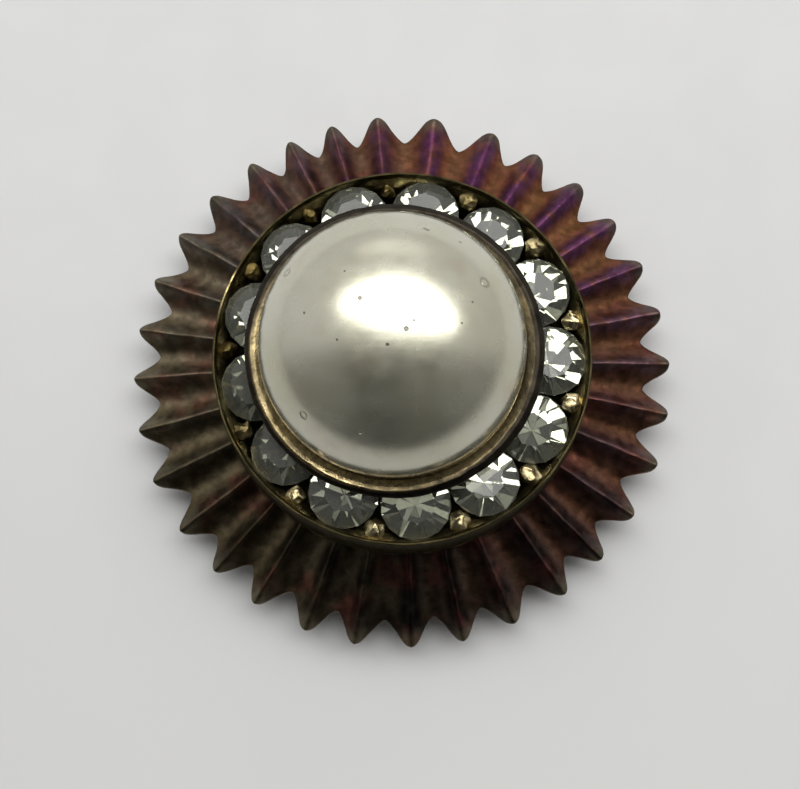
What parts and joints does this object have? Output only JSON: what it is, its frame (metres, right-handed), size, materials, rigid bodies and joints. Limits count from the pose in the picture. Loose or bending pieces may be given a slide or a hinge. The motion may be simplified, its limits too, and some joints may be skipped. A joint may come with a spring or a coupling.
{
  "type": "jewelled badge",
  "caption": "Round pin badge: pleated sunburst disc, a channel of clear round stones, a raised pearl dome in a rolled collar, and a hinged bar pin with a roll-over safety catch.",
  "frame": {"origin": "centre of the badge in plan, on the surface that it lies on, face up", "axes": "+Z out of the badge's face, X along the bar pin from the hinge to the catch, +Y across it, towards the top of the badge"},
  "size_m": [0.028, 0.028, 0.0137],
  "materials": {
    "oxidised_copper": "oxidised, iridescent brown and purple",
    "aged_brass": "tarnished satin",
    "dark_bronze": "dark, polished on the rolled rim",
    "steel": "plain drawn wire",
    "clear_glass": "clear faceted glass with a foil back",
    "pearl_coat": "glossy cream pearl coat"
  },
  "bodies": {
    "badge": {"sunburst_plate": "oxidised_copper", "stone_channel": "aged_brass", "stone_01": "clear_glass", "stone_02": "clear_glass", "stone_03": "clear_glass", "stone_04": "clear_glass", "stone_05": "clear_glass", "stone_06": "clear_glass", "stone_07": "clear_glass", "stone_08": "clear_glass", "stone_09": "clear_glass", "stone_10": "clear_glass", "stone_11": "clear_glass", "stone_12": "clear_glass", "stone_13": "clear_glass", "pearl_collar": "dark_bronze", "pearl_cup": "aged_brass", "pearl": "pearl_coat", "centre_rivet": "aged_brass", "pin_bar": "aged_brass", "hinge_rivet": "steel", "catch_housing": "aged_brass"},
    "pin": {"pin_stem": "steel"},
    "lock": {"catch_rotor": "aged_brass"}
  },
  "joints": [
    {"name": "pin_hinge", "type": "hinge", "parent": "badge", "child": "pin", "pos_m": [-0.0072, 0, 0.0012], "axis": [0, 1, 0], "range_deg": [0, 75]},
    {"name": "catch_turn", "type": "hinge", "parent": "badge", "child": "lock", "pos_m": [0.0068, 0, 0.0012], "axis": [1, 0, 0], "range_deg": [0, 90]}
  ]
}
